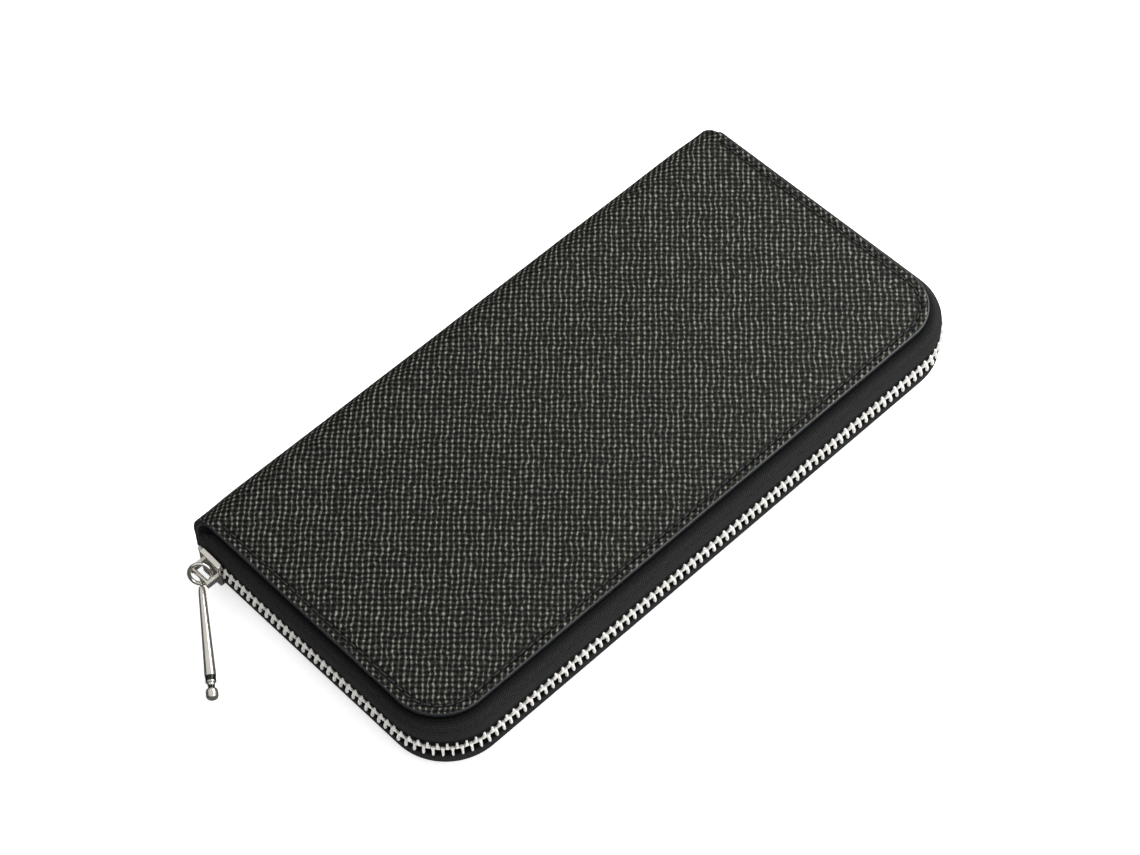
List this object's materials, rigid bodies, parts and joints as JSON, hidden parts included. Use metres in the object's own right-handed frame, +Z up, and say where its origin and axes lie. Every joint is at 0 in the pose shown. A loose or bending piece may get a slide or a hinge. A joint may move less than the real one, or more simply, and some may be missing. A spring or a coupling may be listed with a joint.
{
  "type": "long wallet",
  "caption": "Long zip-around wallet in black cross-hatch embossed leather, with a metal zip on three sides, card slots, side gussets and a zipped coin pocket.",
  "frame": {"origin": "centre of the back cover's outer face, which lies on the table", "axes": "+X along the spine, +Y towards the spine, +Z up from the back cover to the front cover"},
  "size_m": [0.2275, 0.104, 0.022],
  "materials": {
    "embossed_leather": "black cross-hatch embossed, semi-matt",
    "smooth_leather": "smooth black lining leather, satin",
    "stiffener": "matt fibre board",
    "thread": "waxed black thread",
    "zip_tape": "black woven tape, matt",
    "lining_cloth": "black twill lining cloth",
    "nickel": "polished nickel plate"
  },
  "bodies": {
    "back_cover": {"back_cover_leather": "embossed_leather", "back_cover_board": "stiffener", "back_cover_lining": "smooth_leather", "back_cover_stitching": "thread", "back_pocket_panel": "smooth_leather", "back_card_slot_1": "smooth_leather", "back_card_slot_2": "smooth_leather", "back_card_slot_3": "smooth_leather", "back_card_slot_4": "smooth_leather", "zip_tape_lower": "zip_tape", "zip_teeth_lower": "nickel", "zip_top_stop_lower": "nickel", "zip_bottom_stop": "nickel"},
    "centre": {"spine_leather": "embossed_leather", "spine_lining": "smooth_leather", "coin_pocket_wall_back": "lining_cloth", "coin_pocket_wall_front": "lining_cloth", "coin_pocket_seam": "lining_cloth", "coin_tape_lower": "zip_tape", "coin_tape_upper": "zip_tape", "coin_teeth_lower": "nickel", "coin_teeth_upper": "nickel", "coin_stop_left": "nickel", "coin_stop_right": "nickel", "gusset_back_left": "smooth_leather", "gusset_back_right": "smooth_leather", "gusset_front_left": "smooth_leather", "gusset_front_right": "smooth_leather"},
    "front_cover": {"front_cover_leather": "embossed_leather", "front_cover_board": "stiffener", "front_cover_lining": "smooth_leather", "front_cover_stitching": "thread", "front_pocket_panel": "smooth_leather", "front_card_slot_1": "smooth_leather", "front_card_slot_2": "smooth_leather", "front_card_slot_3": "smooth_leather", "front_card_slot_4": "smooth_leather", "zip_tape_upper": "zip_tape", "zip_teeth_upper": "nickel", "zip_top_stop_upper": "nickel"},
    "zip_slider": {"slider_body": "nickel", "slider_crown": "nickel"},
    "pull_ring": {"pull_ring": "nickel"},
    "pull": {"pull_bar": "nickel"},
    "coin_slider": {"coin_slider_body": "nickel", "coin_slider_crown": "nickel"},
    "coin_pull": {"coin_pull": "nickel"}
  },
  "joints": [
    {"name": "back_cover_opening", "type": "hinge", "parent": "back_cover", "child": "centre", "pos_m": [0, 0.04481, 0.00199], "axis": [-1, 0, 0], "range_deg": [0, 25], "deforming": ["gusset_back_left", "gusset_back_right", "zip_teeth_lower", "zip_teeth_upper"]},
    {"name": "front_cover_opening", "type": "hinge", "parent": "centre", "child": "front_cover", "pos_m": [0, 0.04481, 0.02001], "axis": [-1, 0, 0], "range_deg": [0, 25], "deforming": ["gusset_front_left", "gusset_front_right"]},
    {"name": "zip_travel", "type": "slide", "parent": "back_cover", "child": "zip_slider", "axis": [0, -1, 0], "range_m": [0, 0.06], "deforming": ["zip_teeth_lower", "zip_teeth_upper"]},
    {"name": "ring_swing", "type": "hinge", "parent": "zip_slider", "child": "pull_ring", "pos_m": [-0.10575, 0.0365, 0.011], "axis": [0, 1, 0], "range_deg": [-45, 5]},
    {"name": "pull_swing", "type": "hinge", "parent": "pull_ring", "child": "pull", "pos_m": [-0.10644, 0.03585, 0.00896], "axis": [-0.809, 0.5878, 0], "range_deg": [-45, 50]},
    {"name": "coin_zip_travel", "type": "slide", "parent": "centre", "child": "coin_slider", "axis": [1, 0, 0], "range_m": [0, 0.13], "deforming": ["coin_teeth_lower", "coin_teeth_upper"]},
    {"name": "coin_pull_swing", "type": "hinge", "parent": "coin_slider", "child": "coin_pull", "pos_m": [-0.0665, -0.0342, 0.011], "axis": [0, 0, -1], "range_deg": [0, 180]}
  ],
  "couplings": [
    {"joint": "front_cover_opening", "follows": "back_cover_opening", "ratio": 1}
  ]
}
